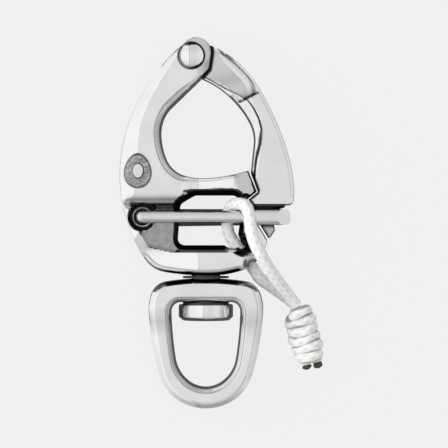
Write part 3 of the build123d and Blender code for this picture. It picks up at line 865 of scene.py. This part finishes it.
# ------------------------------------------------------------------ lanyard
WRAP = ROD_RADIUS + CORD_DIAMETER / 2 + 0.2
PIVOT_Y = PIVOT[1]
KNOT_TOP, KNOT_BOTTOM = Vector((21.9, -20.0, 4.2)), Vector((25.8, -34.2, 4.2))
ROUTE = [
    (21.9, -20.0, 5.8),
    (19.5, -17.0, 7.4),
    (16.5, -12.9, 11.6),
    (13.7, -8.6, 14.9),
    (10.9, -3.4, 15.6),
    (10.3, PIVOT_Y + WRAP, ROD_Z + WRAP),
    (5.6, PIVOT_Y + WRAP, ROD_Z - WRAP),
    (5.0, -1.4, 7.6),
    (6.7, -4.85, 6.75),
    (11.4, -10.75, 6.75),
    (12.9, -13.6, 5.9),
    (17.2, -16.3, 3.9),
    (21.9, -20.0, 2.6),
]


def nurbs_line(points, resolution=24):
    """Points along a smooth curve, in millimetres."""
    curve = bpy.data.curves.new("route", "CURVE")
    curve.dimensions = "3D"
    curve.resolution_u = resolution
    spline = curve.splines.new("NURBS")
    spline.points.add(len(points) - 1)
    for target, point in zip(spline.points, points):
        target.co = (*(v * MM for v in point), 1)
    spline.order_u = 3
    spline.use_endpoint_u = True
    holder = bpy.data.objects.new("route", curve)
    collection.objects.link(holder)
    bpy.context.view_layer.update()
    mesh = bpy.data.meshes.new_from_object(holder.evaluated_get(bpy.context.evaluated_depsgraph_get()))
    line = np.array([v.co for v in mesh.vertices]) / MM
    bpy.data.objects.remove(holder)
    bpy.data.meshes.remove(mesh)
    return line


def evenly(line, step):
    """The line's points, spaced evenly."""
    runs = np.linalg.norm(np.diff(line, axis=0), axis=1)
    along = np.concatenate(([0], np.cumsum(runs)))
    places = np.linspace(0, along[-1], max(2, round(along[-1] / step)) + 1)
    return np.column_stack([np.interp(places, along, line[:, k]) for k in range(3)]), places


def braided(name, line, radius, step=0.16, sides=40, strands=8, lay=4.4, taper=0.0):
    """A braided cord along a line: two families of strands that pass over and under each other."""
    centres, along = evenly(np.array(line), step)
    ahead = np.gradient(centres, axis=0)
    ahead /= np.linalg.norm(ahead, axis=1)[:, None]
    side = np.cross(ahead[0], (0.3, 0.2, 1.0))
    side /= np.linalg.norm(side)
    corners, lows = [], []
    turn = np.arange(sides) * 2 * math.pi / sides
    for centre, way, place in zip(centres, ahead, along):
        side = side - way * (side @ way)
        side /= np.linalg.norm(side)
        up = np.cross(way, side)
        first = strands / 2 * turn + 2 * math.pi * place / lay * 2
        second = strands / 2 * turn - 2 * math.pi * place / lay * 2
        over = 0.5 + 0.5 * np.sin(first) * np.sin(second)
        crown = np.maximum(np.abs(np.cos(first / 2)), np.abs(np.cos(second / 2)))
        depth = 0.075 * over + 0.06 * crown ** 3
        # painted shade in the lows between the strands, for the mesh's attribute
        lows.append(0.3 * (1 - crown) + 0.05 * (1 - over))
        end_gap = min(place, along[-1] - place)
        close = math.sqrt(max(0.0, 1 - (1 - min(1, end_gap / taper)) ** 2)) if taper else 1.0
        reach = (radius - 0.1 + depth) * max(close, 0.05)
        corners.append(centre + np.cos(turn)[:, None] * side * reach[:, None]
                       + np.sin(turn)[:, None] * up * reach[:, None])
    rows = len(corners)
    points = np.concatenate(corners + [centres[:1], centres[-1:]])
    faces = tube_faces(rows, sides)
    for k in range(sides):
        after = (k + 1) % sides
        faces.append((rows * sides, after, k))
        faces.append((rows * sides + 1, (rows - 1) * sides + k, (rows - 1) * sides + after))
    mesh = bpy.data.meshes.new(name)
    mesh.from_pydata((points * MM).tolist(), [], faces)
    set_painted_shade(mesh, np.concatenate(lows + [[0.0, 0.0]]))
    return finished(name, mesh, 80)


route_line = nurbs_line(ROUTE)
lanyard = braided("lanyard_cord", route_line, CORD_DIAMETER / 2)

# the knot: turns of the same cord wound round both strands, each a little askew
knot_way = (KNOT_BOTTOM - KNOT_TOP).normalized()
knot_length = (KNOT_BOTTOM - KNOT_TOP).length
knot_flat = Vector((0, 0, 1))
knot_side = knot_way.cross(knot_flat)
TURNS, COIL_RADIUS = 5.4, 2.55


def winding(share):
    """A point of the winding, at a share of the way from its top to its bottom."""
    angle = 2 * math.pi * TURNS * share + 0.6
    along = 1.6 + (knot_length - 3.2) * share + 0.62 * math.sin(angle + 0.9) + 0.16 * math.sin(2.3 * angle)
    reach = COIL_RADIUS * (0.9 + 0.1 * math.sin(math.pi * share)) + 0.17 * math.sin(1.37 * angle + 1)
    return KNOT_TOP + knot_way * along + (knot_side * math.cos(angle) + knot_flat * math.sin(angle)) * reach


knot = braided("lanyard_winding", [tuple(winding(k / 220)) for k in range(221)], CORD_DIAMETER / 2 - 0.02,
               step=0.2, sides=32, taper=1.2)
# painted shade in the folds between one turn and the next
turns = np.array([v.co for v in knot.data.vertices]) / MM - np.array(KNOT_TOP)
down = turns @ np.array(knot_way)
off_axis = np.linalg.norm(turns - down[:, None] * np.array(knot_way), axis=1)
share_down = np.clip((down - 1.6) / (knot_length - 3.2), 0, 1)
fold = off_axis - COIL_RADIUS * (0.9 + 0.1 * np.sin(math.pi * share_down))
knot_layer = knot.data.attributes["painted_shade"].data
knot_painted_shade = np.empty(len(knot_layer), np.float32)
knot_layer.foreach_get("value", knot_painted_shade)
knot_layer.foreach_set("value", np.maximum(knot_painted_shade, 0.7 * ramp(fold, 1.22, 0.98)).astype(np.float32))
core = braided("knot_core", [tuple(KNOT_TOP + knot_way * d) for d in np.linspace(0.3, knot_length - 0.3, 40)],
               1.75, step=0.3, sides=28, taper=0.8)


def melted_end(name, side, length):
    """A cut end of the cord below the knot, its tip melted to a dark bead."""
    start = KNOT_BOTTOM + Vector((-knot_way.y, knot_way.x, 0)) * side * 1.35 - knot_way * 1.6
    stub = braided(name + "_stub", [tuple(start + knot_way * d) for d in np.linspace(0, 1.9, 16)], 1.38,
                   step=0.16, sides=32, taper=0.35)
    shape = bmesh.new()
    bmesh.ops.create_icosphere(shape, subdivisions=4, radius=1.0)
    centre = start + knot_way * (1.6 + length * 0.45)
    for vertex in shape.verts:
        x, y, z = vertex.co
        wobble = 1 + 0.07 * math.sin(5 * x + 2 * side) * math.cos(4 * y) + 0.05 * math.sin(7 * z)
        vertex.co = (centre + (knot_way * x * length * 0.5 + knot_side * y * 1.12
                               + knot_flat * z * 1.1) * wobble) * MM
    return stub, finished(name, mesh_of(name, shape), 80)


left_stub, left_tip = melted_end("melted_end_left", -1, 1.4)
right_stub, right_tip = melted_end("melted_end_right", 1, 1.8)

for piece, nodes in ((knot, ("lanyard_knot",)), (core, ()), (left_stub, ()), (right_stub, ())):
    fit(piece, "cord", "shackle", *nodes)
fit(left_tip, "cord_tip", "shackle", "lanyard_end_left")
fit(right_tip, "cord_tip", "shackle", "lanyard_end_right")

lanyard.data.materials.append(MATERIALS["cord"])
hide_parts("lanyard")
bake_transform(lanyard)

# ------------------------------------------------------------------ lever
# the CAD lever again, with painted shade on the side of its rear arm that faces the other arm
lever_shape = bmesh.new()
lever_shape.from_mesh(frame["nodes"]["trigger_lever"].data)
lever_shape.transform(frame["nodes"]["trigger_lever"].matrix_world)
# extra edges where the painted shade ends, so that it ends sharply
for edge_at, facing in (((15.6, 0, 0), (1, 0, 0)), ((16.2, 0, 0), (1, 0, 0)), ((0, 0, 1.6), (0, 0, 1))):
    bmesh.ops.bisect_plane(lever_shape, geom=lever_shape.verts[:] + lever_shape.edges[:] + lever_shape.faces[:],
                           plane_co=Vector(edge_at) * MM, plane_no=facing)
lever_mesh = mesh_of("lever", lever_shape)
lever_at = np.array([v.co for v in lever_mesh.vertices]) / MM
set_painted_shade(lever_mesh, 0.96 * (lever_at[:, 2] > 1.5) * (lever_at[:, 2] < MIDDLE - 2) * (lever_at[:, 0] < 15.9))
lever = bpy.data.objects.new("lever", lever_mesh)
collection.objects.link(lever)
lever_mesh.shade_smooth()
lever_mesh.set_sharp_from_angle(angle=math.radians(30))
fit(lever, "rod_steel", "trigger", "trigger_lever")

# ------------------------------------------------------------------ rod
# the run along the front with its spigot in the lever, and the axle through the bushes
ROD_SOCKET, SPIGOT_RADIUS, SPIGOT_LENGTH = 11.2, 1.0, 3.3
run_length = ROD_SOCKET - PIVOT[0]
round_end = [(ROD_RADIUS * math.sin(math.radians(a)), -ROD_RADIUS * math.cos(math.radians(a)))
             for a in np.linspace(2, 90, 16)]
rod = lathe("rod_run", (*PIVOT, ROD_Z), (1, 0, 0),
            round_end + [(ROD_RADIUS, run_length - 0.15), (ROD_RADIUS - 0.12, run_length - 0.02),
                         (SPIGOT_RADIUS, run_length), (SPIGOT_RADIUS, run_length + SPIGOT_LENGTH)], 64)
axle = lathe("rod_axle", (*PIVOT, 0), (0, 0, 1),
             [(ROD_RADIUS - 0.01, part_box("trigger_rod")[0].z / MM + 0.02), (ROD_RADIUS - 0.01, ROD_Z)], 64)
fit(rod, "rod_steel", "trigger", "trigger_rod")
fit(axle, "rod_steel", "trigger")

# ------------------------------------------------------------------ pieces kept from the CAD
node_slots = {part["node"]: part["material_slot"] for part in frame["record"]["subparts"]}
for node, holder in frame["nodes"].items():
    if holder.hide_render:
        continue
    holder.data.materials.clear()
    holder.data.materials.append(MATERIALS[node_slots[node]])
    holder.data.shade_smooth()
    holder.data.set_sharp_from_angle(angle=math.radians(30))
    soften = holder.modifiers.new("soften", "BEVEL")
    soften.width = 0.12 * MM
    soften.segments = 2
    soften.limit_method = "ANGLE"
    soften.angle_limit = math.radians(35)

# ------------------------------------------------------------------ studio
PALE = 0.855


def studio_world():
    """What the metal reflects: white on the left up to a thin grey line, light grey on the right, dark below.

    The camera itself sees an even pale background.
    """
    world = bpy.data.worlds.new("studio")
    bpy.context.scene.world = world
    world.use_nodes = True
    tree = world.node_tree
    tree.nodes.clear()
    place = add(tree, "TexCoord")
    split = add(tree, "SeparateXYZ")
    tree.links.new(place.outputs["Generated"], split.inputs["Vector"])

    def along(axis, *stops):
        place_on_ramp = add(tree, "MapRange", {"From Min": -1})
        tree.links.new(split.outputs[axis], place_on_ramp.inputs["Value"])
        return tint(tree, place_on_ramp.outputs["Result"],
                    *(((position + 1) / 2, (value, value, value)) for position, value in stops))

    def times(a, b):
        node = add(tree, "Mix", {"Factor": 1.0}, data_type="RGBA", blend_type="MULTIPLY")
        tree.links.new(a, node.inputs[6])
        tree.links.new(b, node.inputs[7])
        return node.outputs[2]

    sideways = along("X", (-0.9, 0.84), (-0.20, 0.90), (-0.18, 0.4), (-0.155, 0.4), (-0.125, 0.70),
                     (0.08, 0.68), (0.3, 0.64), (0.55, 0.70), (0.8, 0.74), (0.95, 0.50))
    upright = along("Y", (-0.95, 0.5), (-0.6, 0.85), (-0.1, 1.0), (0.3, 1.0), (0.5, 0.92), (0.85, 0.85))
    rising = along("Z", (-0.12, 0.012), (-0.02, 0.25), (0.1, 0.68), (0.3, 0.95), (0.5, 1.0))
    light = add(tree, "Background", {"Strength": 1.25})
    tree.links.new(times(times(sideways, upright), rising), light.inputs["Color"])
    plain = add(tree, "Background", {"Color": (PALE, PALE, PALE, 1)})
    path = add(tree, "LightPath")
    choice = add(tree, "MixShader")
    tree.links.new(path.outputs["Is Camera Ray"], choice.inputs["Fac"])
    tree.links.new(light.outputs[0], choice.inputs[1])
    tree.links.new(plain.outputs[0], choice.inputs[2])
    output = add(tree, "OutputWorld")
    tree.links.new(choice.outputs[0], output.inputs["Surface"])


def pale_floor():
    """A wide floor that glows evenly, and that the metal sees darker, most of all right under the part."""
    mesh = bpy.data.meshes.new("floor")
    size = 6.0
    corners = [(-size, -size, 0), (size, -size, 0), (size, size, 0), (-size, size, 0)]
    mesh.from_pydata(corners, [], [(0, 1, 2, 3)])
    floor = bpy.data.objects.new("floor", mesh)
    floor.location.z = -0.0004
    collection.objects.link(floor)
    material, tree, shader = new_material("pale_floor")
    put(shader, {"Base Color": (0.02, 0.02, 0.02, 1), "Roughness": 0.9, "Specular IOR Level": 0.0,
                 "Emission Color": (1, 1, 1, 1), "Emission Strength": PALE - 0.01})
    # what the metal sees of it, over an oval round the part
    position = add(tree, "TexCoord")
    oval = add(tree, "Mapping", {"Scale": (1 / 0.024, 1 / 0.048, 0)})
    far = add(tree, "VectorMath", operation="LENGTH")
    paler = add(tree, "MapRange", {"From Min": 0.9, "From Max": 2.0, "To Min": 0.10, "To Max": 0.62})
    dark = add(tree, "Emission")
    tree.links.new(position.outputs["Object"], oval.inputs["Vector"])
    tree.links.new(oval.outputs["Vector"], far.inputs[0])
    tree.links.new(far.outputs["Value"], paler.inputs["Value"])
    tree.links.new(paler.outputs["Result"], dark.inputs["Strength"])
    path = add(tree, "LightPath")
    choice = add(tree, "MixShader")
    tree.links.new(path.outputs["Is Glossy Ray"], choice.inputs["Fac"])
    tree.links.new(shader.outputs[0], choice.inputs[1])
    tree.links.new(dark.outputs[0], choice.inputs[2])
    tree.links.new(choice.outputs[0], tree.nodes["Material Output"].inputs["Surface"])
    mesh.materials.append(material)


def soft_lamp(name, place, size, power):
    data = bpy.data.lights.new(name, "AREA")
    data.shape = "RECTANGLE"
    data.size, data.size_y = size
    data.energy = power
    lamp = bpy.data.objects.new(name, data)
    lamp.location = place
    lamp.visible_glossy = False
    lamp.rotation_euler = (-Vector(place)).to_track_quat("-Z", "Y").to_euler()
    collection.objects.link(lamp)


studio_world()
pale_floor()
soft_lamp("left_panel", (-0.55, 0.1, 0.42), (0.5, 0.8), 4.0)
